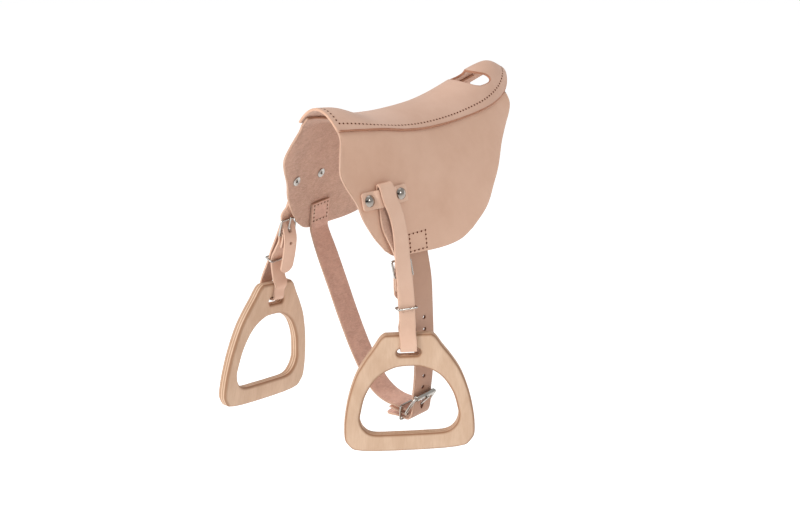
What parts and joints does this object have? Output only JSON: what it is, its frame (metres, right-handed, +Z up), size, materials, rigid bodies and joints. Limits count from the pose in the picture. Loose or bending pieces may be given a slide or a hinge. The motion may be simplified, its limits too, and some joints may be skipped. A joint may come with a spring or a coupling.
{
  "type": "pony saddle",
  "caption": "Small arched leather saddle with two flaps, a riveted tab on each flap holding a buckled stirrup leather and plywood stirrup, and a buckled girth.",
  "frame": {"origin": "underside of the seat's waist on the centre line, where the saddle rests on a back or a rack", "axes": "+X to the saddle's left, +Y to the cantle, +Z up"},
  "size_m": [0.2504, 0.3796, 0.3928],
  "materials": {
    "hide": "vegetable-tanned, satin grain",
    "strap_leather": "vegetable-tanned, satin grain",
    "girth_leather": "matte flesh side outwards",
    "thread": "waxed thread",
    "plywood": "sanded birch plywood, unsealed",
    "nickel": "polished nickel plate"
  },
  "bodies": {
    "saddle": {"seat": "hide", "flap_left": "hide", "flap_right": "hide", "seat_stitching_left": "thread", "seat_stitching_right": "thread", "seat_stitching_front": "thread", "girth_stitching_left": "thread", "girth_stitching_right": "thread", "keeper_tab_left": "strap_leather", "keeper_tab_right": "strap_leather", "rivet_caps_left": "nickel", "rivet_caps_right": "nickel", "rivet_posts_left": "nickel", "rivet_posts_right": "nickel", "leather_bight_left": "strap_leather", "leather_bight_right": "strap_leather", "girth_strap": "girth_leather", "girth_billet": "strap_leather", "girth_buckle": "nickel"},
    "leather_left": {"leather_outer_run_left": "strap_leather", "leather_tail_left": "strap_leather", "leather_chape_left": "strap_leather", "stirrup_buckle_left": "nickel"},
    "leather_right": {"leather_outer_run_right": "strap_leather", "leather_tail_right": "strap_leather", "leather_chape_right": "strap_leather", "stirrup_buckle_right": "nickel"},
    "foot_left": {"leather_foot_loop_left": "strap_leather", "stirrup_left": "plywood"},
    "foot_right": {"leather_foot_loop_right": "strap_leather", "stirrup_right": "plywood"},
    "tongue_left": {"buckle_tongue_left": "nickel"},
    "tongue_right": {"buckle_tongue_right": "nickel"},
    "keeper_left": {"wire_keeper_left": "nickel"},
    "keeper_right": {"wire_keeper_right": "nickel"},
    "girth_roller": {"girth_roller": "nickel"},
    "girth_tongue": {"girth_tongue": "nickel"},
    "girth_keeper": {"girth_wire_keeper": "nickel"}
  },
  "joints": [
    {"name": "leather_swing_left", "type": "hinge", "parent": "saddle", "child": "leather_left", "pos_m": [0.07217, -0.06913, -0.08153], "axis": [-0.1251, -0.9921, 0], "range_deg": [0, 50]},
    {"name": "leather_swing_right", "type": "hinge", "parent": "saddle", "child": "leather_right", "pos_m": [-0.07128, -0.07617, -0.08155], "axis": [-0.1251, 0.9921, 0], "range_deg": [0, 50]},
    {"name": "foot_twist_left", "type": "hinge", "parent": "leather_left", "child": "foot_left", "pos_m": [0.0839, -0.0639, -0.19962], "axis": [0, 0, 1], "range_deg": [-30, 3]},
    {"name": "foot_twist_right", "type": "hinge", "parent": "leather_right", "child": "foot_right", "pos_m": [-0.0947, -0.095, -0.18862], "axis": [0, 0, 1], "range_deg": [-30, 30]},
    {"name": "buckle_tongue_left", "type": "hinge", "parent": "leather_left", "child": "tongue_left", "pos_m": [0.0766, -0.0614, -0.15612], "axis": [-0.3256, -0.9455, 0], "range_deg": [0, 12]},
    {"name": "buckle_tongue_right", "type": "hinge", "parent": "leather_right", "child": "tongue_right", "pos_m": [-0.073, -0.0927, -0.13512], "axis": [0, 1, 0], "range_deg": [0, 12]},
    {"name": "leather_keeper_left", "type": "slide", "parent": "leather_left", "child": "keeper_left", "axis": [0.0519, 0.0299, -0.9982], "range_m": [-0.005, 0.001]},
    {"name": "leather_keeper_right", "type": "slide", "parent": "leather_right", "child": "keeper_right", "axis": [-0.2873, 0, -0.9578], "range_m": [-0.003, 0.0005]},
    {"name": "girth_roller_spin", "type": "hinge", "parent": "saddle", "child": "girth_roller", "pos_m": [0.083, -0.033, -0.30412], "axis": [0, 1, 0], "continuous": true},
    {"name": "girth_tongue_lift", "type": "hinge", "parent": "saddle", "child": "girth_tongue", "pos_m": [0.069, -0.033, -0.32662], "axis": [0, 1, 0], "range_deg": [0, 6]},
    {"name": "girth_keeper_slide", "type": "slide", "parent": "saddle", "child": "girth_keeper", "axis": [1, 0, 0], "range_m": [-0.003, 0.002]}
  ]
}
